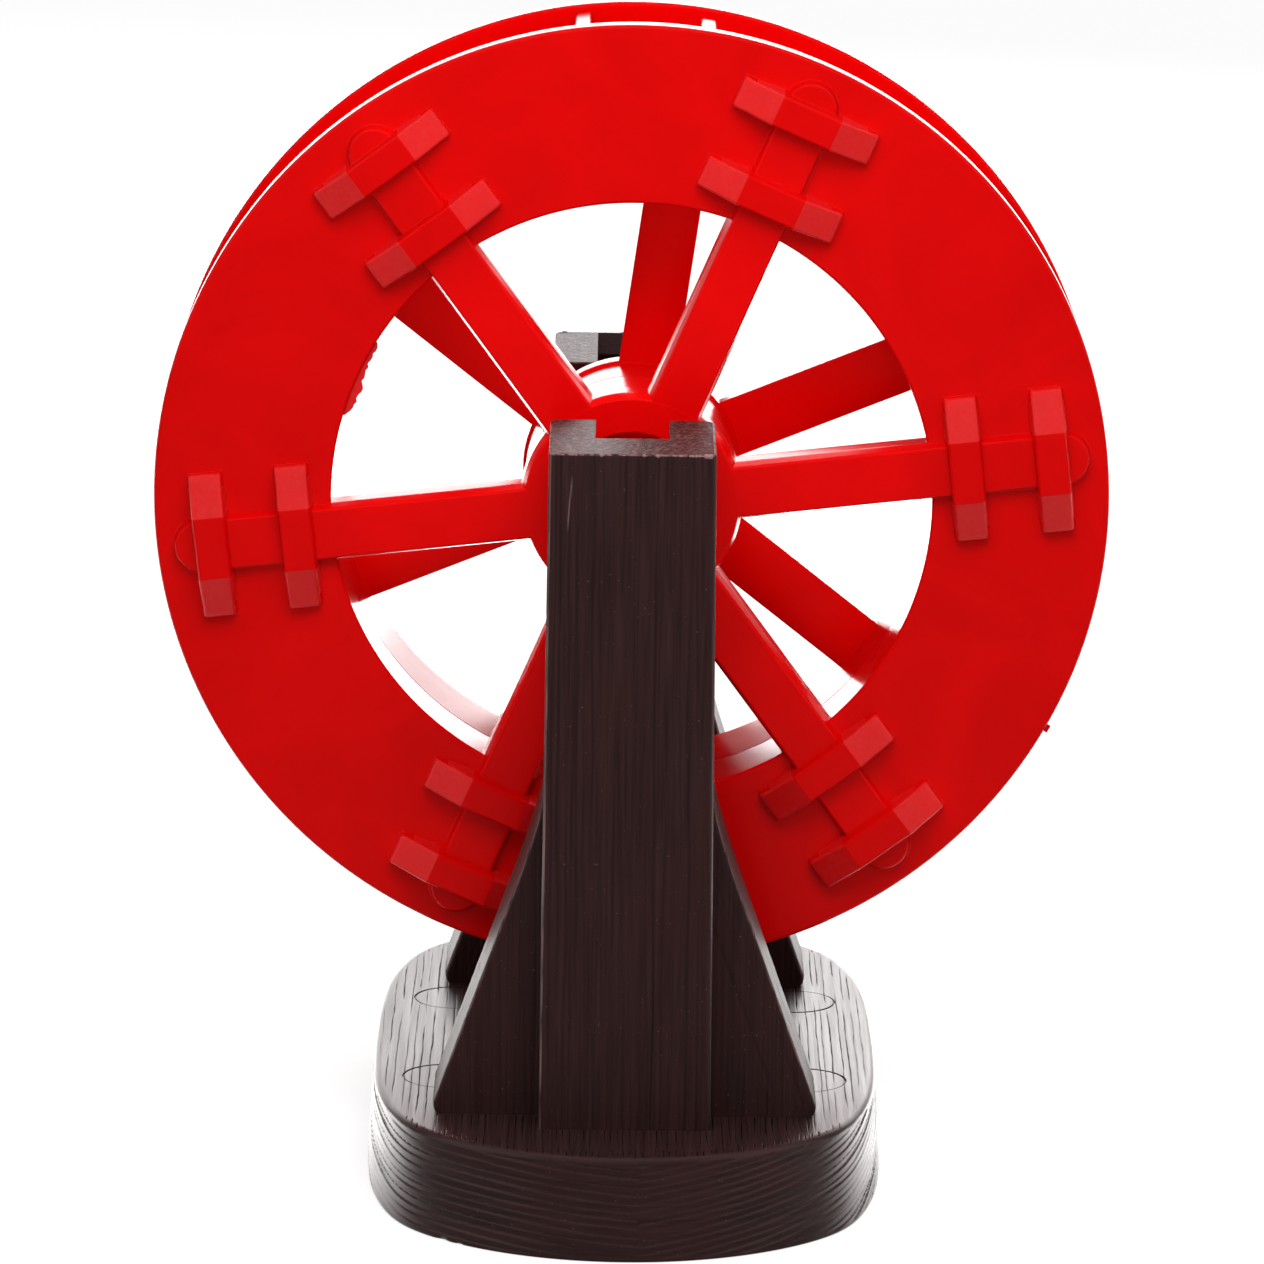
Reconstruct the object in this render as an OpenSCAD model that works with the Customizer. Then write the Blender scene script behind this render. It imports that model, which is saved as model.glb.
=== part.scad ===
// Ornamental water wheel: a red two-part wheel that turns between two posts on a brown plinth.
// +Z is up, +Y runs along the wheel's axle. The origin is the centre of the plinth's underside.
// The front is the -Y side, the rear the +Y side.

/* [Wheel] */
// Outside diameter of the wheel
wheel_d = 120; // [112:1:124]
// Width of the wheel over its two ring faces
wheel_w = 25.6; // [24:0.2:26]
// Diameter of the round window inside each ring
window_d = 75.4; // [70:0.2:80]
// Thickness of each ring
ring_t = 3.5; // [3:0.1:4]
// Thickness of the drum wall between the rings
drum_t = 2.3; // [1.8:0.1:3]
// Height of the axle above the ground
axle_z = 86; // [84:0.5:92]
// Outside diameter of the hub
hub_d = 27.8; // [25:0.2:29]
// Diameter of the round recess in the hub's face
recess_d = 18; // [17.6:0.2:20]

/* [Spokes] */
// Number of spokes on each side
spoke_n = 6; // [4:1:8]
// Width of a spoke
spoke_w = 6.8; // [5:0.1:8]
// Height of the spoke's raised strip above the ring
strip_h = 1.6; // [0.8:0.1:2]
// Radius where the strip ends in a half circle
strip_r = 57.6; // [55.5:0.1:58]
// Angle of the first front spoke above the +X direction
front_phase = 6.6; // [0:0.1:30]
// Angle of the first rear spoke above the +X direction
rear_phase = 22; // [0:0.5:30]

/* [Cleats] */
// Distance of the inner cleat from the axle
cleat_r1 = 42.1; // [41.5:0.1:44]
// Distance of the outer cleat from the axle
cleat_r2 = 52.9; // [50:0.1:54]
// Length of a cleat across its spoke
cleat_l = 18.3; // [14:0.1:20]
// Width of a cleat along its spoke
cleat_w = 4.3; // [3:0.1:5]
// Height of a cleat above the ring
cleat_h = 3.8; // [2.4:0.1:4.2]

/* [Paddles] */
// Paddles in each set
paddle_n = 6; // [4:1:8]
// Thickness of a paddle
paddle_t = 2.5; // [1.8:0.1:3]
// Distance of a paddle's tip from the axle
paddle_r = 59.1; // [54:0.1:59.5]
// Angle of the first paddle of the front set
front_paddle_phase = 21.2; // [18:0.1:24]
// Angle of the first paddle of the rear set
rear_paddle_phase = 36.6; // [33:0.1:40]

/* [Axle] */
// Diameter of the steel axle
axle_d = 4; // [3:0.5:5]
// Outside diameter of the bearing bushes
bush_d = 9; // [8:0.1:9.2]
// Radial running clearance of the axle in its bushes
run_gap = 0.05; // [0.02:0.01:0.1]

/* [Posts] */
// Width of a post at its top
post_w = 20.4; // [18:0.1:22]
// Width of a post at its foot
post_w_foot = 21.4; // [20:0.1:23]
// Distance from the middle plane to a post's inner face
post_in = 19.8; // [19:0.1:21]
// Depth of a post at its top
post_depth = 22.7; // [20:0.1:24]
// Depth of a post at its foot
post_depth_foot = 24.6; // [24:0.1:26]
// Height of the post tops above the axle
post_over = 11.7; // [9:0.1:14]
// Width of the open slot that holds a bush
slot_w = 9.1; // [9.1:0.1:9.4]
// Depth of the slot into the front post
slot_depth = 12.2; // [12:0.1:14]
// Depth of the slot into the rear post
rear_slot_depth = 19.5; // [12:0.1:19.8]
// Half width of the gusset at its foot
gusset_x = 24.3; // [20:0.1:26]
// Height where the gusset's slope would reach the post
gusset_z = 53; // [40:0.5:60]
// Thickness of the gussets
gusset_t = 14.2; // [10:0.1:15]

/* [Plinth] */
// Half length of the plinth
plinth_half_l = 57.2; // [56:0.1:62]
// Half width of the plinth
plinth_half_w = 33.6; // [33:0.1:38]
// Height of the plinth
plinth_h = 13.1; // [12:0.1:16]
// Wall thickness of the plinth
plinth_t = 2.8; // [2:0.1:3.5]
// Radius of the plinth's end arcs
plinth_end_r = 34; // [32:0.5:38]

/* [Hidden] */
$fn = 96;
screw_fn = 48;
ring_fn = 64;
RED = [0.80, 0.03, 0.03];
BROWN = [0.20, 0.12, 0.11];
STEEL = [0.72, 0.73, 0.75];
NYLON = [0.88, 0.87, 0.83];
FRONT = -1;
REAR = 1;

// Wheel: a _y value is a distance from the middle plane
face_y = wheel_w / 2;                 // outer face of each ring
disc_y = face_y - ring_t;             // inner face of each ring
strip_y = face_y + strip_h;           // face of spokes and hub
drum_in_r = window_d / 2 + 0.5;
drum_r = drum_in_r + drum_t;
seam = 0.04;                          // half the gap of the parting seam
hub_r = hub_d / 2;
axle_r = axle_d / 2;
hub_screw_r = 5.9;                    // radius of the hub screw circle
boss_y = strip_y + 0.8;               // face of the small boss around the axle
boss_d = 6.6;
recess_y = strip_y - 1.5;             // floor of the round recess in the hub's face
seat_y = recess_y - 1.2;              // seats of the hub screws' heads
tab_r = 50;                           // distance of a paddle tab's middle from the axle

// Bushes and axle
bush_len = 8.9;
bush_y0 = post_in + 0.5;              // inner end of the bush barrel
flange_y = post_in - 1.5;             // face of the bush flange, towards the wheel
clip_y = bush_y0 + bush_len + 0.3;
clip_t = 0.6;
axle_half = post_in + slot_depth - 0.6;
axle_chamfer = 0.4;

// Posts
post_z = axle_z + post_over;
post_out = post_in + post_depth;
post_out_foot = post_in + post_depth_foot;
tenon_x = 17;                         // size of the tenon under each post
tenon_y = 19;
tenon_mid = 32.1;                     // distance of the tenon's middle from the middle plane
tenon_z = 6.3;                        // underside of the tenon
post_screw_y = 4.6;                   // post screws sit this far either side of the tenon's middle
floor_z = 3.6;                        // underside of the socket floor
gusset_y = 23.8;                      // inner face of the gussets
gusset_foot_z = plinth_h + 1.4;       // where the slope starts
gusset_top_z = gusset_z + 6;
gusset_soft = 1.1;                    // softness of the curve into the post

// ---- Helpers ----

// Block centred on the Z axis, standing at height z
module block(size, z) {
  translate([-size.x / 2, -size.y / 2, z]) cube(size);
}

module ring(outer_r, inner_r, height) {
  difference() {
    cylinder(r = outer_r, h = height, $fn = ring_fn);
    translate([0, 0, -1]) cylinder(r = inner_r, h = 3, $fn = ring_fn);
  }
}

// Cross-shaped cutter for a screw head
module cross_slot(length, width, z, height) {
  for (a = [0, 90]) rotate(a) block([length, width, height], z);
}

module around(count) {
  for (k = [0:count - 1]) rotate(360 / count * k) children();
}

// Everything on the wheel is drawn with the axle up and outwards, then laid along Y
module on_axle(side) {
  if (side == FRONT) translate([0, 0, axle_z]) rotate([90, 0, 0]) children();
  else translate([0, 0, axle_z]) mirror([0, 1, 0]) rotate([90, 0, 0]) children();
}

// Hub screw places, at angles counted from the hub's own phase
module at_hub_screws() {
  for (k = [0:2]) rotate(30 + 120 * k) translate([hub_screw_r, 0, 0]) children();
}

module at_post_screws(side) {
  for (s = [-1, 1]) translate([0, side * tenon_mid + post_screw_y * s, 0]) children();
}

// ---- Wheel halves ----

module ring_and_drum() {
  wheel_r = wheel_d / 2;
  rotate_extrude($fn = 180)
    polygon([[drum_in_r, seam], [drum_r, seam], [drum_r, disc_y], [wheel_r, disc_y],
      [wheel_r, face_y], [window_d / 2, face_y]]);
}

module hub_body() {
  difference() {
    translate([0, 0, seam]) cylinder(r = hub_r, h = strip_y + 0.08 - seam);
    // round recess with a small boss left around the axle
    difference() {
      translate([0, 0, recess_y]) cylinder(d = recess_d, h = 10);
      translate([0, 0, recess_y - 1]) cylinder(d = boss_d, h = 12);
    }
    // cored from the parting seam, with bosses left around the axle and screws
    difference() {
      translate([0, 0, -1]) cylinder(r = hub_r - 2.4, h = 10.5);
      translate([0, 0, -2]) cylinder(r = axle_r + 2.4, h = 14);
      at_hub_screws() translate([0, 0, -2]) cylinder(r = 3.3, h = 14, $fn = screw_fn);
    }
  }
}

module hub_boss() {
  translate([0, 0, strip_y - 1]) cylinder(d = boss_d, h = boss_y - strip_y + 1);
}

module spokes() {
  start_r = hub_r - 1.2;              // sunk into the hub
  end_r = strip_r - spoke_w / 2;      // centre of the rounded end
  bar_y = disc_y + 0.3;
  end_y = disc_y + 0.5;
  around(spoke_n) {
    translate([start_r, -spoke_w / 2, bar_y]) cube([end_r - start_r, spoke_w, strip_y - bar_y]);
    translate([end_r, 0, end_y]) cylinder(d = spoke_w, h = strip_y - end_y, $fn = ring_fn);
  }
}

// One cleat: flat in the middle, sloping down to a low end wall on both sides
module cleat() {
  end_x = cleat_l / 2;
  flat_x = cleat_l * 0.21;
  end_h = cleat_h * 0.4;
  sink = 0.4;
  rotate([90, 0, 90]) linear_extrude(cleat_w, center = true)
    polygon([[-end_x, -sink], [end_x, -sink], [end_x, end_h], [flat_x, cleat_h],
      [-flat_x, cleat_h], [-end_x, end_h]]);
}

module cleats() {
  around(spoke_n) for (r = [cleat_r1, cleat_r2]) translate([r, 0, face_y]) cleat();
}

// Pockets in the ring's inner face that take the paddle tabs
module tab_pockets(phase) {
  rotate(phase) around(paddle_n) translate([tab_r, 0, 0]) block([8.2, 1.6, 2.8], disc_y - 1);
}

// Axle bore, and screw holes: screws enter from the front half and bite in the rear half
module hub_cuts(side) {
  translate([0, 0, -1]) cylinder(r = axle_r + 0.01, h = 30);
  rotate(front_phase) at_hub_screws() {
    if (side == FRONT) {
      translate([0, 0, -1]) cylinder(r = 1.35, h = 30, $fn = screw_fn);
      translate([0, 0, seat_y]) cylinder(r = 2.5, h = 8, $fn = screw_fn);
    } else translate([0, 0, -1]) cylinder(r = 1.27, h = 11, $fn = screw_fn);
  }
}

// The hubs of both halves share the front phase, so their screw holes line up
module wheel_half(side, phase, paddle_phase) {
  color(RED) on_axle(side) difference() {
    union() {
      ring_and_drum();
      rotate(phase) {
        spokes();
        cleats();
      }
      rotate(front_phase) {
        hub_body();
        hub_boss();
      }
    }
    hub_cuts(side);
    tab_pockets(paddle_phase);
  }
}
module front_wheel_half() { wheel_half(FRONT, front_phase, front_paddle_phase); }
module rear_wheel_half() { wheel_half(REAR, rear_phase, rear_paddle_phase); }

// ---- Paddles and hub screws ----

// Paddles lie along the radius; a tab on one edge plugs into the ring that carries them.
// reach is how far they run past the middle plane
module paddle_set(side, phase, reach) {
  root_r = drum_r + 0.06;
  color(RED) on_axle(side) rotate(phase) around(paddle_n) {
    translate([root_r, -paddle_t / 2, -reach])
      cube([paddle_r - root_r, paddle_t, reach + disc_y - 0.03]);
    translate([tab_r, 0, 0]) block([8, 1.5, 1.8], disc_y - 0.1);
  }
}
module front_paddles() { paddle_set(FRONT, front_paddle_phase, 5.8); }
module rear_paddles() { paddle_set(REAR, rear_paddle_phase, disc_y - 0.1); }

module hub_screws() {
  tip = 8.5;                          // shank length past the middle plane
  color(STEEL) on_axle(FRONT) rotate(front_phase) at_hub_screws() difference() {
    union() {
      translate([0, 0, -tip]) cylinder(r = 1.25, h = tip + seat_y + 0.5, $fn = screw_fn);
      translate([0, 0, seat_y + 0.04]) cylinder(r = 2.4, h = 2.1, $fn = screw_fn);
    }
    cross_slot(2.8, 0.7, seat_y + 1.2, 3);
  }
}

// ---- Axle, bushes, spacers and clips ----

module axle() {
  end_r = axle_r - axle_chamfer;
  side_y = axle_half - axle_chamfer;
  color(STEEL) on_axle(FRONT) rotate_extrude()
    polygon([[0, -axle_half], [end_r, -axle_half], [axle_r, -side_y], [axle_r, side_y],
      [end_r, axle_half], [0, axle_half]]);
}

// Flanged bush: the barrel drops into the post's slot, the flange faces the wheel
module bush(side) {
  color(NYLON) on_axle(side) difference() {
    union() {
      translate([0, 0, bush_y0 - 0.1]) cylinder(d = bush_d, h = bush_len + 0.1);
      translate([0, 0, flange_y]) cylinder(r = 6.2, h = 1.4);
      // joins the flange to the barrel
      translate([0, 0, flange_y + 0.1]) cylinder(d = bush_d, h = 2);
    }
    translate([0, 0, 10]) cylinder(r = axle_r + run_gap, h = 30);
  }
}
module front_bush() { bush(FRONT); }
module rear_bush() { bush(REAR); }

// Spacer tube between the hub and the bush flange
module spacer(side) {
  color(NYLON) on_axle(side) difference() {
    translate([0, 0, boss_y + 0.05]) cylinder(r = 3.2, h = flange_y - boss_y - 0.25);
    translate([0, 0, 10]) cylinder(r = axle_r + 0.02, h = 20);
  }
}
module front_spacer() { spacer(FRONT); }
module rear_spacer() { spacer(REAR); }

// Push-on ring that keeps the bush on the axle, with three teeth on the shaft
module axle_clip(side) {
  tooth_r = axle_r * 0.9;
  color(STEEL) on_axle(side) translate([0, 0, clip_y]) difference() {
    union() {
      ring(3.6, 2.7, clip_t);
      around(3) translate([tooth_r, -0.9, 0]) cube([3 - tooth_r, 1.8, clip_t]);
    }
    translate([0, 0, -1]) cylinder(r = axle_r + 0.01, h = 3);
  }
}
module front_axle_clip() { axle_clip(FRONT); }
module rear_axle_clip() { axle_clip(REAR); }

// ---- Posts ----

// Gusset edge: a straight slope that curves into the side of the post
function gusset_edge(z) =
  let (side = post_w / 2 + 0.2,
       line = (gusset_z - z) * (gusset_x - side) / (gusset_z - gusset_foot_z))
  side - 0.4 + gusset_soft * ln(1 + exp(line / gusset_soft));

function gusset_pts(steps = 14) =
  [for (i = [0:steps])
    let (z = gusset_foot_z + (gusset_top_z - gusset_foot_z) * i / steps) [gusset_edge(z), z]];

// Post body: both profiles taper a little towards the top
module upright() {
  intersection() {
    rotate([90, 0, 0]) linear_extrude(60)
      polygon([[-post_w_foot / 2, plinth_h], [post_w_foot / 2, plinth_h],
        [post_w / 2, post_z], [-post_w / 2, post_z]]);
    rotate([90, 0, 90]) linear_extrude(80, center = true)
      polygon([[-post_out_foot, plinth_h], [-post_in, plinth_h],
        [-post_in, post_z], [-post_out, post_z]]);
  }
}

// Outline extruded outwards from distance y, on both sides of the post
module gusset_pair(y, thickness, points) {
  for (m = [0, 1]) mirror([m, 0, 0]) translate([0, -y, 0]) rotate([90, 0, 0])
    linear_extrude(thickness) polygon(points);
}

// Open-topped slot with a round seat for the bush
module bush_slot(depth) {
  end_y = post_in + depth;
  translate([0, 0, axle_z]) rotate([90, 0, 0]) cylinder(d = slot_w, h = end_y);
  translate([-slot_w / 2, -end_y, axle_z]) cube([slot_w, end_y, 40]);
  // where the slot runs deep, the web behind it slopes down to the slot
  if (depth > 16) rotate([90, 0, 90]) linear_extrude(slot_w, center = true)
    polygon([[1 - end_y, post_z - 2.4], [-end_y, post_z - 2.4],
      [-post_out + 0.4, post_z + 0.1], [1 - end_y, post_z + 0.1]]);
}

// Core from below, with two screw bosses and their cross ribs left standing
module post_core() {
  difference() {
    translate([0, -tenon_mid, 0])
      block([12, 14, axle_z - slot_w / 2 - 5 - tenon_z + 1], tenon_z - 1);
    at_post_screws(FRONT) {
      translate([0, 0, tenon_z - 2]) cylinder(r = 2.9, h = 17, $fn = screw_fn);
      block([14, 1.2, 17], tenon_z - 2);
    }
  }
}

// A post with its two gussets, drawn on the -Y side
module post_shape(depth) {
  hollow_x = 12.6;
  difference() {
    union() {
      upright();
      gusset_pair(gusset_y, gusset_t, concat([[0, plinth_h], [gusset_x - 0.8, plinth_h]],
        gusset_pts(), [[0, gusset_top_z]]));
      translate([0, -tenon_mid, 0]) block([tenon_x, tenon_y, plinth_h - tenon_z + 1], tenon_z);
    }
    bush_slot(depth);
    post_core();
    at_post_screws(FRONT) translate([0, 0, tenon_z - 2]) cylinder(r = 1.52, h = 15, $fn = screw_fn);
    // hollows under the gussets
    gusset_pair(26.4, 9, [[hollow_x, plinth_h - 1], [gusset_x - 3, plinth_h - 1],
      [gusset_x - 3.4, gusset_foot_z], [hollow_x, plinth_h + 22]]);
  }
}
module front_post() { color(BROWN) post_shape(slot_depth); }
module rear_post() { color(BROWN) mirror([0, 1, 0]) post_shape(rear_slot_depth); }

// Screws up through the socket floor, heads below
module post_screws(side) {
  color(STEEL) at_post_screws(side) difference() {
    union() {
      translate([0, 0, floor_z - 0.05]) cylinder(r = 1.5, h = 14.5, $fn = screw_fn);
      translate([0, 0, floor_z - 2.1]) cylinder(r = 2.9, h = 2.06, $fn = screw_fn);
    }
    cross_slot(3.4, 0.8, floor_z - 3, 1.9);
  }
}
module front_post_screws() { post_screws(FRONT); }
module rear_post_screws() { post_screws(REAR); }

// ---- Plinth ----

side_bow = 5.3;                       // how far a side has drawn in at bow_y
bow_y = 44;
bow_power = 2.6;
blend_power = 26;                     // higher gives a sharper corner
rib_t = 2;
rib_z = 4;

// Stacked plates: inset of half width, inset of half length, bottom, top
plinth_layers = [
  [0, 0, 0, 3.5],
  [0.3, 0.2, 3, plinth_h - 1],
  [0.7, 0.6, plinth_h - 2, plinth_h]
];
// Centres of the witness rings
witness_xy = [[22.7, -21], [-22.7, -21], [22.3, 16.6], [-22.3, 16.6]];

// Outline: two bowed sides that run into two end arcs, as half widths at y
function side_x(y, half_w) = half_w - side_bow * pow(abs(y) / bow_y, bow_power);
function arc_x(y, half_l) =
  let (past = max(abs(y) - (half_l - plinth_end_r), 0))
  sqrt(max(pow(plinth_end_r, 2) - pow(past, 2), 0));
function plan_x(y, half_w, half_l) =
  let (side = side_x(y, half_w), arc = arc_x(y, half_l))
  arc <= 0.01 ? 0 : pow(pow(side, -blend_power) + pow(arc, -blend_power), -1 / blend_power);
function plan(half_w, half_l) =
  [for (i = [0:95]) let (angle = 360 * i / 96, y = half_l * sin(angle))
    [(cos(angle) >= 0 ? 1 : -1) * plan_x(y, half_w, half_l), y]];

module plan_plate(inset_w, inset_l, bottom, top) {
  translate([0, 0, bottom]) linear_extrude(top - bottom)
    polygon(plan(plinth_half_w - inset_w, plinth_half_l - inset_l));
}

// Hollow underside, with sockets and ribs left standing
module plinth_hollow() {
  inset = plinth_t + 0.3;
  difference() {
    plan_plate(inset, inset, -1, plinth_h - 3);
    for (side = [FRONT, REAR]) translate([0, side * tenon_mid, 0]) block([22, 24, 12], floor_z);
    for (y = [-tenon_mid, 0, tenon_mid]) translate([0, y, 0]) block([80, rib_t, 12], rib_z);
    block([rib_t, 120, 12], rib_z);
  }
}

module base_plinth() {
  color(BROWN) difference() {
    for (p = plinth_layers) plan_plate(p[0], p[1], p[2], p[3]);
    plinth_hollow();
    // tenon sockets and screw holes
    for (side = [FRONT, REAR]) {
      translate([0, side * tenon_mid, 0]) block([tenon_x + 0.1, tenon_y + 0.1, 20], tenon_z - 0.1);
      at_post_screws(side) translate([0, 0, -1]) cylinder(r = 1.65, h = 20, $fn = screw_fn);
    }
    // shallow round witness rings in the deck
    for (c = witness_xy) translate([c.x, c.y, plinth_h - 0.25]) ring(5.5, 5.1, 1);
  }
}

base_plinth();
front_post();
rear_post();
front_post_screws();
rear_post_screws();
front_bush();
rear_bush();
axle();
front_axle_clip();
rear_axle_clip();
front_spacer();
rear_spacer();
front_wheel_half();
rear_wheel_half();
front_paddles();
rear_paddles();
hub_screws();
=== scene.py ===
"""A red spoked wheel on an axle between two brown posts, which stand on a long rounded plinth.

The axle lies along y, the front is -y, +x is to the right and z is up, with the floor at 0.
Shapes are worked out in millimetres and turned into metres when a mesh is made.
"""

import math

import bmesh
import bpy
import numpy as np
from mathutils import Matrix, Vector


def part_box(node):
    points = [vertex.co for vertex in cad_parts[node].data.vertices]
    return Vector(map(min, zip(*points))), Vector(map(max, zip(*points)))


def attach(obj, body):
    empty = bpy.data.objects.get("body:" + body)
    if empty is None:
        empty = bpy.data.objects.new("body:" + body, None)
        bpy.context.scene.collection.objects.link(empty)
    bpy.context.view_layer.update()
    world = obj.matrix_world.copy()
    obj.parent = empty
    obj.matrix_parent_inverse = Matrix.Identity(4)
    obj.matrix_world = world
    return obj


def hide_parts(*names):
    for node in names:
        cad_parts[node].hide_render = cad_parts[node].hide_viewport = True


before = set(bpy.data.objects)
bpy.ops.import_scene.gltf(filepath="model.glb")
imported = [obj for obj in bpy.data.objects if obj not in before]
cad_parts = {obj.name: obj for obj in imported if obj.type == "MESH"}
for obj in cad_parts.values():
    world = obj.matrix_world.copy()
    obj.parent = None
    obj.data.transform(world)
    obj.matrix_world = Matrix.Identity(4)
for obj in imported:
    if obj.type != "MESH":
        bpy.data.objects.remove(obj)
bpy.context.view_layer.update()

S = 0.001  # metres in a millimetre
COLLECTION = bpy.context.scene.collection

# ---------------------------------------------------------------- dimensions read from the frame
low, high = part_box("axle")
AXLE_Z = (low.z + high.z) / 2 / S
low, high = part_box("base_plinth")
PLINTH_H, PLINTH_Y = high.z / S, high.y / S  # height and half length
low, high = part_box("front_post")
# distances from the middle of the row to the outer face at the foot and to the inner face
POST_TOP, POST_OUT_FOOT, POST_IN = high.z / S, -low.y / S, -high.y / S
low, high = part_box("front_wheel_half")
WHEEL_R = high.x / S

# ---------------------------------------------------------------- dimensions of our own
PLINTH_X, PLINTH_R = 33.6, 34.0  # half width, radius of the end arcs

# wheel, as distances outwards along the axle from the plane between the halves
DISC, FACE = 9.3, 12.8  # inward and outward faces of the rim
STRIP = 14.4  # outward face of the spokes
BOSS, RECESS = 15.2, 12.9  # end of the hub boss, floor of the hollow round it
SEAT = RECESS - 1.2  # seat of a hub screw head
# wheel radii and angles
WINDOW_R, DRUM_R = 37.7, 40.5
HUB_SCREW_R = 5.9
FRONT_PHASE, REAR_PHASE = 6.6, 22.0  # first spoke, degrees
FRONT_PADDLE, REAR_PADDLE = 21.2, 36.6  # first paddle, degrees
TAB_IN, TAB_OUT, TAB_HALF = 46.0, 54.0, 0.75  # paddle tabs: radii and half thickness

# posts
POST_W, POST_W_FOOT, POST_DEPTH = 20.4, 21.4, 22.7
TOP_ROUND = 0.32
POST_Y = 32.1  # middle of the tenon
TENON_X, TENON_Y = 8.5, 9.5  # half sizes
SCREW_Y = 4.6  # from the middle of the tenon to each screw
SLOT_R = 4.55
GUSSET_OUT, GUSSET_IN = -38.0, -23.8  # y of its two flat faces
GUSSET_X, GUSSET_TOP = 24.3, 53.0
GUSSET_ROUND = 0.55
TOE_H = 1.4  # steep edge at the foot of a gusset


# ---------------------------------------------------------------- seeded noise, from -1 to 1
def cell_and_part(place):
    """Lattice cell of each place, and its eased position inside that cell."""
    cell = np.floor(place).astype(int)
    part = place - cell
    return cell, part * part * (3 - 2 * part)


def noise1(place, seed):
    values = np.random.default_rng(seed).random(512)
    i, f = cell_and_part(np.asarray(place, float))
    return (values[i % 512] * (1 - f) + values[(i + 1) % 512] * f) * 2 - 1


def noise2(across, along, seed):
    values = np.random.default_rng(seed).random((128, 128))
    across, along = np.broadcast_arrays(np.asarray(across, float), np.asarray(along, float))
    i, f = cell_and_part(across)
    j, g = cell_and_part(along)
    near = values[i % 128, j % 128] * (1 - f) + values[(i + 1) % 128, j % 128] * f
    far = values[i % 128, (j + 1) % 128] * (1 - f) + values[(i + 1) % 128, (j + 1) % 128] * f
    return (near * (1 - g) + far * g) * 2 - 1


# ---------------------------------------------------------------- objects and booleans
# stand-ins that keep the face material indices apart while pieces are cut and joined
STAND_INS = [bpy.data.materials.new("slot_%d" % k) for k in range(3)]


def new_object(name, points, faces, attributes=None):
    mesh = bpy.data.meshes.new(name)
    for material in STAND_INS:
        mesh.materials.append(material)
    faces = [[int(i) for i in face] for face in faces]
    mesh.from_pydata((np.asarray(points, float) * S).tolist(), [], faces)
    for key, values in (attributes or {}).items():
        layer = mesh.attributes.new(key, "FLOAT", "POINT")
        layer.data.foreach_set("value", np.asarray(values, np.float32))
    bm = bmesh.new()
    bm.from_mesh(mesh)
    bmesh.ops.recalc_face_normals(bm, faces=bm.faces)
    bm.to_mesh(mesh)
    bm.free()
    mesh.update()
    piece = bpy.data.objects.new(name, mesh)
    COLLECTION.objects.link(piece)
    return piece


def join(name, shells):
    """One object from closed shells, each (points, faces) or (points, faces, face slots)."""
    points, faces, slots, base = [], [], [], 0
    for shell in shells:
        points.append(np.asarray(shell[0], float))
        faces += [[int(i) + base for i in face] for face in shell[1]]
        slots += list(shell[2]) if len(shell) > 2 else [0] * len(shell[1])
        base += len(shell[0])
    piece = new_object(name, np.concatenate(points), faces)
    piece.data.polygons.foreach_set("material_index", np.array(slots, np.int32))
    return piece


def boolean(piece, tool, operation):
    """Applies the boolean and removes the tool."""
    modifier = piece.modifiers.new("cut", "BOOLEAN")
    modifier.operation, modifier.object, modifier.solver = operation, tool, "MANIFOLD"
    deps = bpy.context.evaluated_depsgraph_get()
    mesh = bpy.data.meshes.new_from_object(
        piece.evaluated_get(deps), preserve_all_data_layers=True, depsgraph=deps)
    if not len(mesh.polygons):
        raise RuntimeError(f"boolean on {piece.name} with {tool.name} left nothing")
    piece.modifiers.clear()
    old, tool_mesh = piece.data, tool.data
    piece.data = mesh
    bpy.data.meshes.remove(old)
    bpy.data.objects.remove(tool)
    bpy.data.meshes.remove(tool_mesh)


def cut(piece, *shells):
    boolean(piece, join("cutter", shells), "DIFFERENCE")


def add(piece, *shells):
    boolean(piece, join("addition", shells), "UNION")


def hand_over(piece, materials, part, node, angle=32):
    mesh = piece.data
    slots = np.zeros(len(mesh.polygons), np.int32)
    mesh.polygons.foreach_get("material_index", slots)
    mesh.materials.clear()
    for material in materials:
        mesh.materials.append(material)
    mesh.polygons.foreach_set("material_index", np.minimum(slots, len(materials) - 1))
    mesh.shade_smooth()
    mesh.set_sharp_from_angle(angle=math.radians(angle))
    modifier = piece.modifiers.new("normals", "WEIGHTED_NORMAL")
    modifier.keep_sharp, modifier.weight = True, 50
    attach(piece, part)
    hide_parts(node)


# ---------------------------------------------------------------- shapes
def rounding(over, radius):
    """How far a rounded edge falls back, at a distance past the start of its curve."""
    return radius - np.sqrt(np.maximum(radius * radius - np.maximum(over, 0) ** 2, 0))


def round_poly(corners, steps=4):
    """Outline through corners given as (x, y, rounding radius)."""
    out = []
    for i, (x, y, radius) in enumerate(corners):
        corner = np.array((x, y), float)
        if radius <= 0:
            out.append(corner)
            continue
        back = np.array(corners[i - 1][:2], float) - corner
        ahead = np.array(corners[(i + 1) % len(corners)][:2], float) - corner
        back, ahead = back / np.linalg.norm(back), ahead / np.linalg.norm(ahead)
        half = math.acos(np.clip(back @ ahead, -1, 1)) / 2
        both = back + ahead
        centre = corner + both / np.linalg.norm(both) * radius / math.sin(half)
        reach = radius / math.tan(half)
        start, end = corner + back * reach - centre, corner + ahead * reach - centre
        angle = math.atan2(start[1], start[0])
        sweep = math.atan2(end[1], end[0]) - angle
        sweep = (sweep + math.pi) % (2 * math.pi) - math.pi
        for t in np.linspace(0, 1, steps + 1):
            a = angle + sweep * t
            out.append(centre + radius * np.array([math.cos(a), math.sin(a)]))
    return out


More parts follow.
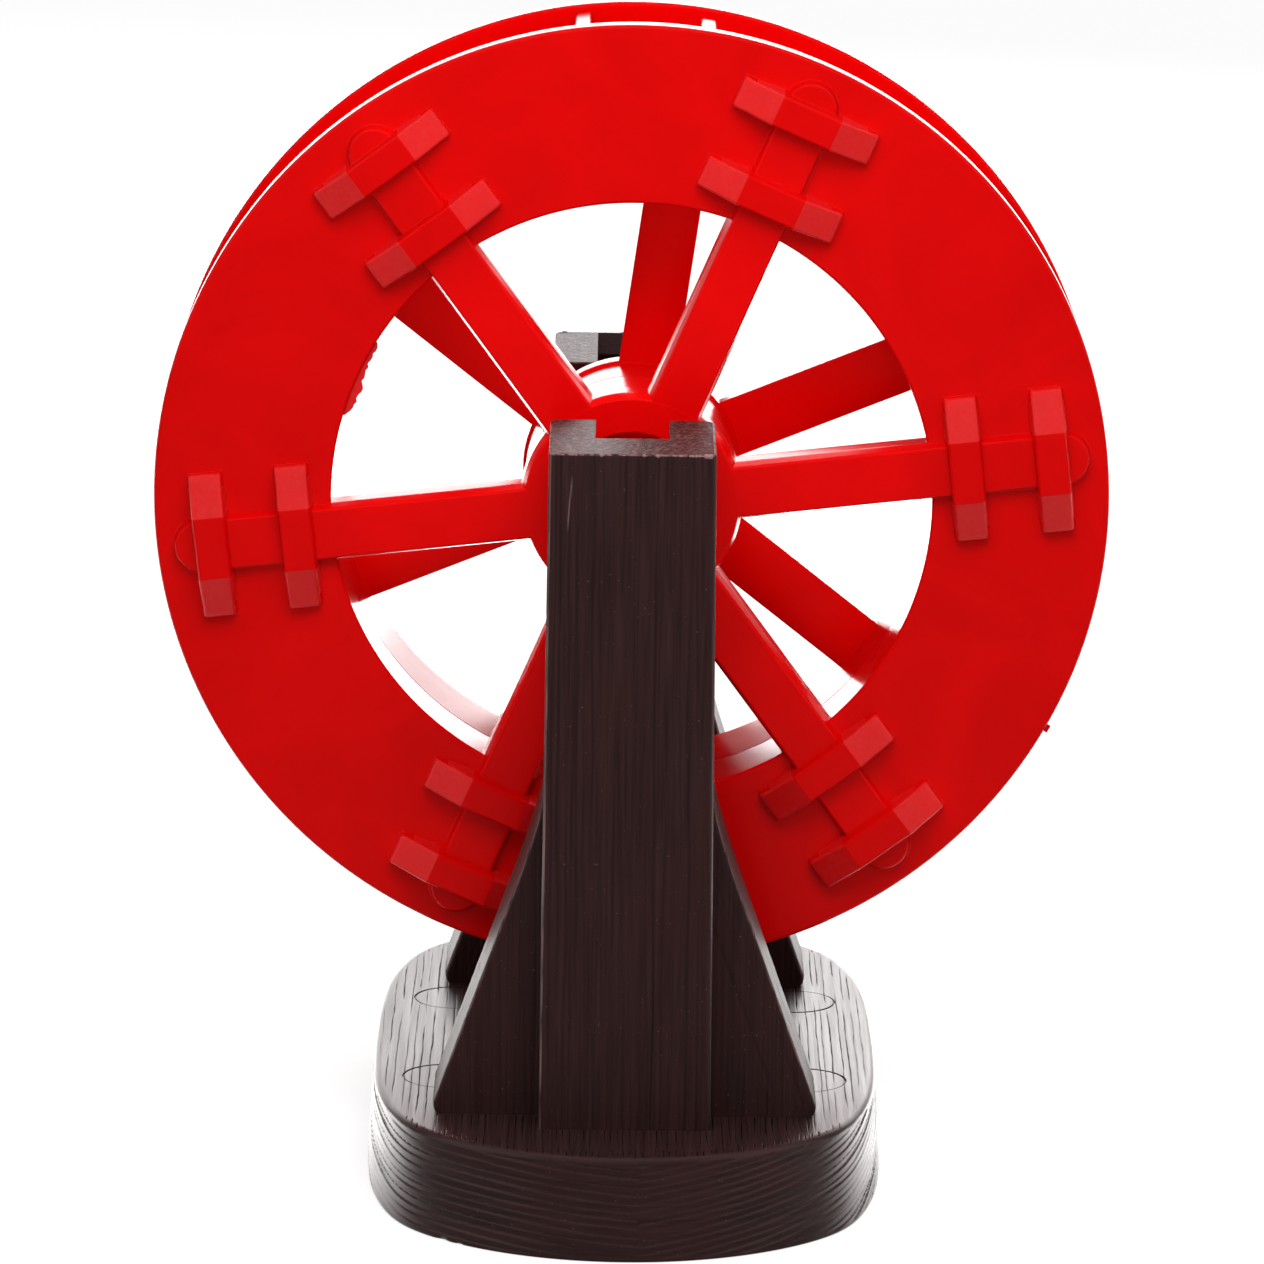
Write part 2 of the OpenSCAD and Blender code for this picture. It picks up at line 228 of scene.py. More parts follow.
def hoop_faces(n, m, strips):
    """Faces between n sections of m points that go round in a circle."""
    return [(i * m + j, (i + 1) % n * m + j, (i + 1) % n * m + (j + 1) % m, i * m + (j + 1) % m)
            for i in range(n) for j in range(strips)]


def revolve(profile, n, closed=False):
    """Turns (radius, height) points about the height axis.

    A closed profile makes a ring; an open one is capped at both ends.
    """
    radius, height = np.asarray(profile, float).T
    m = len(radius)
    t = np.arange(n) * 2 * math.pi / n
    points = np.stack([np.outer(np.cos(t), radius), np.outer(np.sin(t), radius),
                       np.tile(height, (n, 1))], -1).reshape(-1, 3)
    faces = hoop_faces(n, m, m if closed else m - 1)
    if not closed:
        faces.append([i * m for i in range(n)])
        faces.append([i * m + m - 1 for i in reversed(range(n))])
    return points, faces


def loft(rings):
    """Closed solid through loops of the same number of points, capped at both ends."""
    n, last = len(rings[0]), len(rings) - 1
    points = np.concatenate([np.asarray(ring, float) for ring in rings])
    faces = [(k * n + i, k * n + (i + 1) % n, (k + 1) * n + (i + 1) % n, (k + 1) * n + i)
             for k in range(last) for i in range(n)]
    faces.append(list(range(n))[::-1])
    faces.append([last * n + i for i in range(n)])
    return points, faces


def grid_block(nx, ny, nz):
    """Surface lattice of a block: integer places of its points, and its quads."""
    i, j, k = np.meshgrid(range(nx), range(ny), range(nz), indexing="ij")
    on = (i == 0) | (i == nx - 1) | (j == 0) | (j == ny - 1) | (k == 0) | (k == nz - 1)
    index = -np.ones((nx, ny, nz), int)
    index[on] = np.arange(on.sum())
    quads = []
    for side, flip in ((index[0], True), (index[-1], False), (index[:, 0], False),
                       (index[:, -1], True), (index[:, :, 0], True), (index[:, :, -1], False)):
        corners = [side[:-1, :-1], side[1:, :-1], side[1:, 1:], side[:-1, 1:]]
        quad = np.stack(corners, -1).reshape(-1, 4)
        quads.append(quad[:, ::-1] if flip else quad)
    return np.stack([i[on], j[on], k[on]], 1), np.concatenate(quads)


def box(x0, x1, y0, y1, z0, z1):
    points = [(x, y, z) for z in (z0, z1) for y in (y0, y1) for x in (x0, x1)]
    faces = [(0, 2, 3, 1), (4, 5, 7, 6), (0, 1, 5, 4), (2, 6, 7, 3), (0, 4, 6, 2), (1, 3, 7, 5)]
    return points, faces


def moved(shell, offset):
    return (np.asarray(shell[0], float) + np.array(offset, float), *shell[1:])


def rods(middle_y, radius, z0, z1):
    """Two upright rods at the screw places of a post."""
    rod = revolve([(radius, z0), (radius, z1)], 64)
    return [moved(rod, (0, middle_y + SCREW_Y * end, 0)) for end in (-1, 1)]


def in_slot(shell, slot):
    return (*shell, [slot] * len(shell[1]))


def turned(shell, degrees):
    a = math.radians(degrees)
    x, y, z = np.asarray(shell[0], float).T
    points = [x * math.cos(a) - y * math.sin(a), x * math.sin(a) + y * math.cos(a), z]
    return (np.stack(points, 1), *shell[1:])


def on_axle(shell, side):
    """From the wheel's own frame (across, up, outwards) to the scene; side -1 is the front."""
    x, y, z = np.asarray(shell[0], float).T
    return (np.stack([x, z * side, y + AXLE_Z], 1), *shell[1:])


def six_round(make, phase, side):
    """Six shells round the wheel, one every 60 degrees; make takes the number of the shell."""
    return [on_axle(turned(make(k), phase + 60 * k), side) for k in range(6)]


# ---------------------------------------------------------------- shader tools
class Graph:
    """Adds nodes to a shader tree. Lengths in shaders are in metres."""

    def __init__(self, tree):
        self.tree = tree

    def put(self, socket, value):
        """Links a socket, or sets a value; colours are given as three numbers."""
        if isinstance(value, bpy.types.NodeSocket):
            self.tree.links.new(value, socket)
        else:
            socket.default_value = (*value, 1) if socket.type == "RGBA" else value

    def node(self, kind, inputs=(), **settings):
        node = self.tree.nodes.new("ShaderNode" + kind)
        for key, value in settings.items():
            setattr(node, key, value)
        for key, value in dict(inputs).items():
            self.put(node.inputs[key], value)
        return node

    def math(self, operation, a, b=0.0, *rest):
        inputs = dict(enumerate((a, b, *rest)))
        return self.node("Math", inputs, operation=operation).outputs[0]

    def ease(self, value, over, to):
        """Smooth step between the two numbers of `to`, as the value crosses `over`."""
        inputs = {"Value": value, "From Min": over[0], "From Max": over[1],
                  "To Min": to[0], "To Max": to[1]}
        return self.node("MapRange", inputs, interpolation_type="SMOOTHSTEP").outputs["Result"]

    def xyz(self, vector):
        return self.node("SeparateXYZ", {0: vector}).outputs


class Material(Graph):
    def __init__(self, name):
        self.material = bpy.data.materials.new(name)
        self.material.use_nodes = True
        super().__init__(self.material.node_tree)
        self.coord = self.node("TexCoord").outputs["Object"]

    def finish(self, inputs):
        """Fills the inputs of the Principled shader."""
        shader = next(n for n in self.tree.nodes if n.type == "BSDF_PRINCIPLED")
        for key, value in inputs.items():
            self.put(shader.inputs[key], value)
        return self.material

    def noise(self, scale, detail=3.0, rough=0.5, stretch=None, distortion=0.0):
        """Noise; stretch scales the coordinates along x, y and z first."""
        vector = self.coord
        if stretch:
            vector = self.node("Mapping", {"Scale": stretch, "Vector": vector}).outputs["Vector"]
        inputs = {"Scale": scale, "Detail": detail, "Roughness": rough,
                  "Distortion": distortion, "Vector": vector}
        return self.node("TexNoise", inputs).outputs["Fac"]

    def mix(self, fac, a, b):
        return self.node("Mix", {0: fac, 6: a, 7: b}, data_type="RGBA").outputs[2]

    def blend(self, base, colour, fac, over, most=1.0):
        """From base towards colour as fac crosses `over`; most is the final share of colour."""
        ramp = self.node("ValToRGB", {"Fac": fac})
        for stop, place, grey in zip(ramp.color_ramp.elements, over, (0.0, most)):
            stop.position = place
            stop.color = (grey, grey, grey, 1)
        return self.mix(ramp.outputs["Color"], base, colour)

    def vary(self, fac, least, span):
        return self.math("ADD", self.math("MULTIPLY", fac, span), least)

    def attribute(self, name):
        return self.node("Attribute", attribute_name=name).outputs["Fac"]

    def bump(self, normal, height, strength, distance):
        inputs = {"Strength": strength, "Distance": distance, "Height": height, "Normal": normal}
        return self.node("Bump", inputs).outputs["Normal"]

    def edge(self, radius):
        return self.node("Bevel", {"Radius": radius}, samples=4).outputs["Normal"]

    def grazing(self, over, to):
        """Specular level that changes from a surface facing the viewer to a grazing one."""
        weight = self.node("LayerWeight", {"Blend": 0.5})
        return self.ease(weight.outputs["Facing"], over, to)


# ---------------------------------------------------------------- materials
def red_plastic(name, rough, worn=False, tint=1.0, through=0.06):
    """tint: gain on the red, painted light where above 1. through: share of light that scatters
    inside.
    """
    m = Material(name)
    colour = m.blend((0.74 * tint, 0.0012, 0.0014), (0.82 * tint, 0.0017, 0.0019),
                     m.noise(45.0, distortion=1.5), over=(0.35, 0.65))
    if worn:
        # scuffs with a pinker colour: partly real scuffing, partly a painted pink sheen
        scuffs_and_sheen = m.noise(1500.0, detail=5.0, rough=0.75)
        colour = m.blend(colour, (0.76, 0.017, 0.020), scuffs_and_sheen, over=(0.42, 0.68), most=0.8)
    # painted light: brightness changes with the distance from the axle, lighter on the spokes and
    # darker on the ring, as the light falls off
    xyz = m.xyz(m.coord)
    up = m.math("SUBTRACT", xyz[2], AXLE_Z * 0.001)
    squares = m.math("ADD", m.math("MULTIPLY", xyz[0], xyz[0]), m.math("POWER", up, 2.0))
    gain = m.ease(m.math("SQRT", squares), over=(0.030, 0.041), to=(1.15, 0.97))
    colour = m.node("VectorMath", {0: colour, "Scale": gain}, operation="SCALE").outputs[0]
    if worn:
        specular = m.grazing(over=(0.45, 0.85), to=(0.34, 0.9))
    else:
        specular = m.grazing(over=(0.62, 0.88), to=(0.06, 0.8))
    normal = m.edge(0.00028)
    # noise scale, detail and roughness, then bump strength and distance
    for scale, detail, coarse, strength, distance in (
        (900.0, 3.0, 0.5, 0.12 if worn else 0.05, 0.00008),
        (60.0, 2.0, 0.5, 0.10, 0.0004),
        (5200.0, 2.0, 0.6, 0.5 if worn else 0.08, 0.00002),
    ):
        normal = m.bump(normal, m.noise(scale, detail, coarse), strength, distance)
    return m.finish({
        "Base Color": colour,
        "Roughness": m.vary(m.noise(400.0, detail=4.0, rough=0.6), least=rough - 0.05, span=0.10),
        "Specular IOR Level": specular,
        "Subsurface Weight": through,
        "Subsurface Radius": (0.003 if through < 0.1 else 0.009, 0.0004, 0.0003),
        "Subsurface Scale": 1.0,
        "Normal": normal,
    })


def brown_colour(m, grain, speck, stretch, light):
    def lit(*rgb):
        return tuple(c * light for c in rgb)

    wide = m.noise(0.35, detail=2.0, stretch=stretch)
    colour = m.blend(lit(0.0140, 0.0056, 0.0056), lit(0.031, 0.0135, 0.0135),
                     grain, over=(0.32, 0.68))
    # each layer: colour, mask, range of the mask, greatest share
    for layer, mask, over, most in (
        (lit(0.027, 0.0100, 0.0095), wide, (0.35, 0.7), 0.5),
        (lit(0.034, 0.0105, 0.009), m.noise(70.0), (0.45, 0.75), 0.35),
        ((0.16, 0.10, 0.095), speck, (0.70, 0.78), 0.55),
        # painted shade: darker where the grain grooves are deeper
        ((0.006, 0.003, 0.003), m.attribute("groove"), (0.15, 1.0), 0.8),
        # pale wear, with a painted highlight along the outer corners of the posts
        ((0.30, 0.17, 0.165), m.attribute("wear_and_highlight"), (0.1, 1.0), 1.0),
    ):
        colour = m.blend(colour, layer, mask, over, most)
    return colour


def brown_plastic(name, stretch, light=1.0, flash=False, sheen=0.9, rough=0.30, hue=0.91):
    """stretch: noise scale of the grain along x, y, z. light: gain on the browns, used as painted
    light and shade on each surface.

    flash: the plain pale colour of thin edges. sheen: specular level at grazing angles.
    hue: green in the specular tint.
    """
    m = Material(name)
    grain = m.noise(1.0, detail=4.0, rough=0.55, stretch=stretch)
    speck = m.noise(2600.0, detail=2.0)
    pale = (0.33, 0.19, 0.185)
    normal = m.bump(m.edge(0.00022), grain, strength=0.55, distance=0.00012)
    return m.finish({
        "Base Color": pale if flash else brown_colour(m, grain, speck, stretch, light),
        "Roughness": m.vary(grain, least=rough, span=0.22),
        "Specular IOR Level": m.grazing(over=(0.35, 0.85), to=(0.14, sheen)),
        "Specular Tint": (1.0, hue, hue - 0.025),
        "Normal": m.bump(normal, speck, strength=0.30, distance=0.00003),
    })


def steel(name, stretch):
    m = Material(name)
    lines = m.noise(1.0, rough=0.6, stretch=stretch)
    return m.finish({
        "Metallic": 1.0,
        "Base Color": m.mix(lines, (0.55, 0.55, 0.57), (0.78, 0.78, 0.80)),
        "Roughness": m.vary(lines, least=0.18, span=0.25),
        "Normal": m.bump(m.edge(0.0001), lines, strength=0.25, distance=0.00002),
    })


def nylon(name):
    m = Material(name)
    cloud = m.noise(500.0)
    fine = m.noise(2500.0, detail=2.0)
    return m.finish({
        "Base Color": m.mix(cloud, (0.70, 0.68, 0.62), (0.82, 0.80, 0.75)),
        "Roughness": m.vary(cloud, least=0.38, span=0.15),
        "Subsurface Weight": 0.15,
        "Subsurface Radius": (0.001, 0.0009, 0.0007),
        "Subsurface Scale": 1.0,
        "Normal": m.bump(m.edge(0.00012), fine, strength=0.15, distance=0.00003),
    })


RED = red_plastic("red_moulded", rough=0.19)
RED_WORN_SHEEN = red_plastic("red_moulded_worn_sheen", rough=0.42, worn=True)
# painted light: the rear half gets its own copy of the red, made 4% brighter by tint, which also
# lets much more light scatter inside
RED_LIT = red_plastic("red_moulded_lit_through", rough=0.19, tint=1.04, through=0.85)
# painted light and shade: the posts, the deck, the wall and the grooves are one brown plastic,
# each made lighter or darker by its own light gain
BROWN_POST = brown_plastic("brown_grain_upright", (2600.0, 2600.0, 45.0),
                           light=1.24, sheen=0.22, rough=0.38, hue=0.80)
BROWN_DECK = brown_plastic("brown_grain_deck", (1500.0, 40.0, 900.0),
                           light=1.15, sheen=1.0, rough=0.27, hue=0.885)
BROWN_WALL = brown_plastic("brown_grain_wall", (90.0, 90.0, 1500.0),
                           light=1.30, sheen=0.95, rough=0.18)
BROWN_FLASH = brown_plastic("brown_flash", (900.0, 900.0, 900.0), flash=True)
# painted shade: the groove faces get the brown at half brightness
BROWN_GROOVE_SHADE = brown_plastic("brown_groove_shade", (900.0, 60.0, 900.0), light=0.5)
STEEL_TURNED = steel("steel_turned", (400.0, 9000.0, 400.0))
STEEL_SCREW = steel("steel_screw", (1500.0, 1500.0, 1500.0))
NYLON = nylon("nylon_natural")

# ---------------------------------------------------------------- wheel halves
# (radius, distance outwards, rounding)
RING_PROFILE = [
    (38.1, 0.04, 0.12), (DRUM_R, 0.04, 0.12), (DRUM_R, DISC, 0.5),
    (WHEEL_R, DISC, 0.42), (WHEEL_R, FACE, 0.48), (WINDOW_R, FACE, 0.42),
]
HUB_PROFILE = [
    (2.01, 0.04, 0), (13.6, 0.04, 0.12), (13.5, 9.2, 0.1), (13.95, 9.4, 0.2),
    (13.86, FACE, 0.3), (13.35, STRIP + 0.02, 0.32), (9.0, STRIP + 0.02, 0.3),
    (8.8, RECESS, 0.25), (3.5, RECESS, 0.25), (3.3, BOSS, 0.2), (2.01, BOSS, 0.12),
]
# (distance outwards, half width)
SPOKE_LAYERS = (
    (9.62, 3.70), (12.45, 3.60), (12.78, 3.52), (13.90, 3.24),
    (14.18, 3.16), (14.33, 3.05), (STRIP, 2.90),
)


def spoke():
    """A bar from the hub to a round end, along +x."""
    start, end = 12.2, 54.4
    rings = []
    for z, w in SPOKE_LAYERS:
        arc = [(end + w * math.cos(t), w * math.sin(t), z)
               for t in np.linspace(-math.pi / 2, math.pi / 2, 28)]
        rings.append([(start, -w, z)] + arc + [(start, w, z)])
    return loft(rings)


def cleat(seed):
    """A bar across the spoke: flat in the middle, sloping to a low wall at both ends."""
    half_length, flat, end_height, height, half_width = 9.15, 3.85, 1.5, 3.8, 2.0
    end_round, edge_round = 0.40, 0.36
    places = [-half_length, -half_length + 0.07, -half_length + 0.20, -half_length + 0.40]
    places += list(np.linspace(-half_length + 0.8, -flat - 0.25, 6))
    places += [-flat - 0.1, -flat, -flat + 0.12]
    middle = list(np.linspace(-flat + 0.5, flat - 0.5, 7))
    places = places + middle + [-t for t in places[::-1]]
    stations = []
    for t in places:
        top, along = height, abs(t)
        if along > flat:
            top = height + (end_height - height) * (along - flat) / (half_length - flat)
        drop = rounding(end_round - (half_length - along), end_round)
        z = FACE + top - drop
        w = half_width + 0.035 * float(noise1(t * 0.7 + 30, seed)) - 0.5 * drop
        foot = w + 0.085 * (z - FACE)
        loop = [(foot + 0.03, FACE - 0.4), (w + 0.02, z - edge_round)]
        loop += [(w - edge_round + edge_round * math.cos(q),
                  z - edge_round + edge_round * math.sin(q))
                 for q in np.linspace(0.25, math.pi / 2, 4)]
        loop += [(-a, b) for a, b in loop[::-1]]
        stations.append([(a, t, b) for a, b in loop])
    points, faces = loft(stations)
    # the sloping ends get the worn material, scuffed and with a painted pink sheen
    slots = []
    for face in faces:
        centre = points[list(face)].mean(0)
        slots.append(1 if abs(centre[1]) > flat + 0.05 and centre[2] > FACE + 0.8 else 0)
    return points, faces, slots


def hub_hole(side):
    """Hole for a hub screw: stepped in the front half, blind in the rear half."""
    if side < 0:
        hole = revolve([(1.35, -1), (1.35, SEAT), (2.5, SEAT), (2.5, 20)], 56)
    else:
        hole = revolve([(1.27, -1), (1.27, 10)], 48)
    return moved(hole, (HUB_SCREW_R, 0, 0))


def window_film():
    """A ragged film of flash on the inner edge of the ring, at the upper left."""
    film = []
    z0, z1 = 11.9, 12.1
    outer = WINDOW_R + 0.4
    for degrees in np.linspace(148.5, 164, 90):
        t = math.radians(degrees)
        taper = max(0.0, 1 - ((degrees - 156.2) / 7.8) ** 2) ** 0.5
        ragged = (0.62 + 0.7 * float(noise1(degrees * 0.55, 77))
                  + 0.16 * float(noise1(degrees * 1.4, 78)))
        inner = WINDOW_R - 0.03 - taper * max(0.0, ragged)
        film.append([(q * math.cos(t), q * math.sin(t), z)
                     for q, z in ((outer, z0), (inner, z0), (inner, z1), (outer, z1))])
    return in_slot(loft(film), 1)


def wheel_half(name, side, phase, paddle_phase, node):
    ring = revolve(round_poly(RING_PROFILE, 5), 360, closed=True)
    piece = join(name, [on_axle(ring, side)])
    add(piece, on_axle(revolve(round_poly(HUB_PROFILE), 192, closed=True), side))
    for shell in six_round(lambda k: spoke(), phase, side):
        add(piece, shell)
    for radius, seed in ((42.1, 40), (52.9, 50)):
        seed += 7 if side > 0 else 0
        cleats = six_round(lambda k: moved(cleat(seed + k), (radius, 0, 0)), phase, side)
        add(piece, *cleats)
    hole = hub_hole(side)
    cut(piece, *[on_axle(turned(hole, FRONT_PHASE + 30 + 120 * k), side) for k in range(3)])
    # pockets for the paddle tabs
    half = TAB_HALF + 0.05
    pocket = box(TAB_IN - 0.1, TAB_OUT + 0.1, -half, half, DISC - 1, DISC + 1.8)
    cut(piece, *six_round(lambda k: pocket, paddle_phase, side))
    if side < 0:
        # moulding flash: a nub on the rim and a film on the inner edge of the ring
        nub = box(WHEEL_R - 0.9, WHEEL_R + 0.5, -0.55, 0.45, 11.5, 12.2)
        add(piece, on_axle(turned(nub, -28.5), side))
        add(piece, on_axle(window_film(), side))
    hand_over(piece, (RED if side < 0 else RED_LIT, RED_WORN_SHEEN), "wheel", node)


def paddle(reach, seed):
    """A thin tapered blade along the radius, from the rim inwards past the middle plane."""
    root, tip = DRUM_R + 0.06, 59.1
    root_half, tip_half, tip_round = 1.25, 1.02, 0.36
    z0, z1 = -reach, DISC - 0.03
    # (place along the axle, how far the end is rounded back)
    stations = [(z0, 0.36), (z0 + 0.06, 0.2), (z0 + 0.18, 0.07), (z0 + 0.36, 0.0)]
    stations += [(z, 0.0) for z in np.linspace(z0 + 1.2, z1 - 0.2, 8)] + [(z1, 0.0)]
    rings = []
    for z, back in stations:
        bow = 0.05 * float(noise1(z * 0.3 + 5, seed))
        loop = round_poly([(root, -root_half, 0), (tip - back, -tip_half, tip_round),
                           (tip - back, tip_half, tip_round), (root, root_half, 0)])
        rings.append([(x, y * (1 - back * 0.35) + bow, z) for x, y in loop])
    return loft(rings)


def paddles(name, side, phase, reach, node):
    piece = join(name, six_round(lambda k: paddle(reach, 60 + k), phase, side))
    tab = box(TAB_IN, TAB_OUT, -TAB_HALF, TAB_HALF, DISC - 0.3, DISC + 1.7)
    add(piece, *six_round(lambda k: tab, phase, side))
    hand_over(piece, (RED,), "wheel", node)


wheel_half("front_wheel_moulding", -1, FRONT_PHASE, FRONT_PADDLE, "front_wheel_half")
wheel_half("rear_wheel_moulding", 1, REAR_PHASE, REAR_PADDLE, "rear_wheel_half")
paddles("front_paddle_blades", -1, FRONT_PADDLE, 5.8, "front_paddles")
paddles("rear_paddle_blades", 1, REAR_PADDLE, DISC - 0.1, "rear_paddles")


# ---------------------------------------------------------------- posts
# Both posts are built at the front, with the outer face towards -y.
def grain(across, z, seed, width):
    """Depth of the moulded wood grain at a place across the face and along it."""
    random = np.random.default_rng(seed)
    depth = np.zeros(np.broadcast(across, z).shape)
    x = -width / 2 - 0.3
    while x < width / 2 + 0.5:
        deepest = random.choice([0.03, 0.05, 0.07, 0.12], p=[0.35, 0.3, 0.22, 0.13])
        w = random.uniform(0.10, 0.20)
        wander = 0.18 * noise1(z * 0.07 + random.uniform(0, 90), seed + int(x * 7) % 97)
        path = x + wander + random.uniform(-0.004, 0.004) * z
        shown = 0.65 + 0.75 * noise1(z * 0.05 + random.uniform(0, 90), seed + 31)
        depth += deepest * np.clip(shown, 0, 1) * np.exp(-(((across - path) / w) ** 2))
        x += random.uniform(0.55, 1.35)
    depth += 0.018 * (noise2(across * 2.6, z * 0.12, seed + 3) + 1)
    return depth


def post_body(name, side, seed):
    """A tapered block with rounded corners, its grain pressed into all four faces."""
    nx, ny = 156, 120
    round_start = POST_TOP - TOP_ROUND
    heights = list(np.linspace(PLINTH_H - 0.3, POST_TOP - 2.0, 42))
    heights += list(np.linspace(POST_TOP - 1.5, round_start, 4))
    heights += [round_start + TOP_ROUND * math.sin(t) for t in (0.3, 0.6, 0.95, 1.3, math.pi / 2)]
    place, faces = grid_block(nx, ny, len(heights))
    i, j, k = place.T
    z = np.array(heights)[k]
    share = (z - PLINTH_H) / (POST_TOP - PLINTH_H)
    over = z - round_start
    inset = rounding(over, TOP_ROUND)
    outer = POST_OUT_FOOT + (POST_IN + POST_DEPTH - POST_OUT_FOOT) * share
    half_x = (POST_W_FOOT + (POST_W - POST_W_FOOT) * share) / 2 - inset
    half_y = (outer - POST_IN) / 2 - inset
    middle = (outer + POST_IN) / 2
    across, deep = i / (nx - 1) * 2 - 1, j / (ny - 1) * 2 - 1
    x, y = across * half_x, deep * half_y
    # upright corners, rounder on the inner side
    radius = np.where(y > 0, 1.35, 0.8)
    centre_x = np.clip(x, -(half_x - radius), half_x - radius)
    centre_y = np.clip(y, -(half_y - radius), half_y - radius)
    dx, dy = x - centre_x, y - centre_y
    on_side = (i == 0) | (i == nx - 1) | (j == 0) | (j == ny - 1)
    length = np.maximum(np.hypot(dx, dy), 1e-9)
    in_corner = (np.abs(dx) > 1e-9) & (np.abs(dy) > 1e-9)
    # inside the end faces the lattice is eased towards the rounded rim
    ease = np.maximum(np.abs(across), np.abs(deep)) ** 6
    eased = np.where(in_corner, 1 + (np.minimum(radius / length, 1) - 1) * ease, 1.0)
    pull = np.where(on_side, radius / length, eased)
    x, y = centre_x + dx * pull, centre_y + dy * pull
    normal_x, normal_y = np.where(on_side, dx / length, 0), np.where(on_side, dy / length, 0)
    size_x, size_y = np.abs(normal_x), np.abs(normal_y)
    outward = np.where(normal_y < 0, 1.25 * grain(x, z, seed, 23.0), grain(x, z, seed + 50, 23.0))
    sideways = np.where(normal_x < 0, grain(y, z, seed + 100, 27.0), grain(y, z, seed + 150, 27.0))
    groove = outward * size_y ** 2 + sideways * size_x ** 2
    x, y = x - normal_x * groove, y - normal_y * groove
    top = (k == len(heights) - 1) & ~on_side
    z = z + np.where(top, 0.03 * noise2(x * 2.2, y * 2.2, seed + 9) - 0.03, 0)
    # pale marks: a painted highlight along the outer corners (mostly the -x one), and light
    # scuffing on the top edge and the top
    corner = (normal_y < -0.2) & (size_x > 0.62) & (size_x < 0.86)
    wear_and_highlight = np.where(corner, 0.42 + 0.38 * noise1(z * 0.3, seed + 5), 0.0)
    wear_and_highlight = wear_and_highlight * np.where(x < 0, 1.0, 0.12)
    rim = (over > 0.12) & (over < 0.31) & on_side
    rim_wear = 0.5 + 0.5 * noise1(x * 2.3 + y * 1.3, seed + 6)
    wear_and_highlight = np.maximum(wear_and_highlight, np.where(rim, rim_wear, 0))
    top_wear = np.clip(0.12 + 0.5 * noise2(x * 3.3, y * 3.3, seed + 12), 0, 0.45)
    wear_and_highlight = np.maximum(wear_and_highlight, np.where(top, top_wear, 0))
    if side < 0:
        # one thin scratch near the top of the front face
        start, scratch = POST_TOP - 9.2, 5.4
        bend = -7.75 + 0.4 * np.clip((z - start) / scratch, 0, 1) ** 2
        near = (normal_y < -0.9) & (z > start) & (z < start + scratch)
        line = 0.62 * np.exp(-(((x - bend) / 0.10) ** 2))
        wear_and_highlight = np.maximum(wear_and_highlight, np.where(near, line, 0))
    return new_object(name, np.stack([x, y - middle, z], 1), faces,
                      {"groove": np.clip(groove / 0.14, 0, 1), "wear_and_highlight": np.clip(wear_and_highlight, 0, 1)})


def gusset_edge(z):
    """Distance from the middle to the slope, which runs softly into the side of the post."""
    side, soft = POST_W / 2 + 0.2, 1.1
    line = (GUSSET_TOP - z) * (GUSSET_X - side) / (GUSSET_TOP - PLINTH_H - TOE_H)
    return side - 0.4 + soft * np.log1p(np.exp(line / soft))


def gusset(hand, seed):
    """A sloping brace on one side of the post; hand is the sign of x."""
    nx, ny, start = 96, 44, 6.0
    toe = PLINTH_H + TOE_H
    heights = list(np.linspace(PLINTH_H - 0.3, toe, 3))
    heights += list(np.linspace(PLINTH_H + 2.4, 59.0, 50))
    place, faces = grid_block(nx, ny, len(heights))
    i, j, k = place.T
    z = np.array(heights)[k]
    edge = np.where(z < toe, GUSSET_X - 0.62 * (toe - z), gusset_edge(np.maximum(z, toe)))
    x = start + (edge - start) * (i / (nx - 1))
    y = GUSSET_OUT + (GUSSET_IN - GUSSET_OUT) * (j / (ny - 1))
    # the two corners along the slope are rounded
    centre_x = np.minimum(x, edge - GUSSET_ROUND)
    centre_y = np.clip(y, GUSSET_OUT + GUSSET_ROUND, GUSSET_IN - GUSSET_ROUND)
    dx, dy = x - centre_x, y - centre_y
    length = np.maximum(np.hypot(dx, dy), 1e-9)
    on_side = (i == nx - 1) | (j == 0) | (j == ny - 1)
    pull = GUSSET_ROUND / length
    x, y = np.where(on_side, centre_x + dx * pull, x), np.where(on_side, centre_y + dy * pull, y)
    normal_x, normal_y = np.where(on_side, dx / length, 0), np.where(on_side, dy / length, 0)
    size_x, size_y = np.abs(normal_x), np.abs(normal_y)
    face = grain(x, z, seed + 200 + hand, 52.0)
    if hand > 0:
        # a band of grain that follows the slope
        face = np.where(edge - x < 5.5, grain(edge - x, z, seed + 210 + hand, 60.0), face)
    slope = grain(y + 31, z, seed + 220 + hand, 16.0)
    slope = slope + 0.03 * (noise2(y * 3, z * 1.6, seed + 230) + 1)
    groove = face * size_y ** 2 + slope * size_x ** 2
    x, y = x - normal_x * groove, y - normal_y * groove
    corner = (size_x > 0.45) & (size_y > 0.45)
    wear_and_highlight = np.where(corner, 0.28 + 0.3 * noise1(z * 0.9, seed + 240), 0)
    return new_object("gusset", np.stack([x * hand, y, z], 1), faces,
                      {"groove": np.clip(groove / 0.16, 0, 1), "wear_and_highlight": np.clip(wear_and_highlight, 0, 1)})


def top_sliver(seed):
    """A ragged sliver of flash along the top outer edge."""
    rings = []
    for x in np.linspace(-9.2, 9.75, 120):
        ragged = (noise1(x * 1.9, seed + 300) + noise1(x * 6.0, seed + 301) * 0.6
                  + (0.9 if x > 6.5 else 0.0) - 0.15)
        r = 0.05 + 0.19 * float(np.clip(ragged, 0, 1.3))
        rings.append([(x, -(POST_IN + POST_DEPTH) + 0.17 + r * math.cos(t),
                       POST_TOP - 0.17 + r * math.sin(t))
                      for t in np.linspace(0, 2 * math.pi, 7)[:-1]])
    return in_slot(loft(rings), 1)


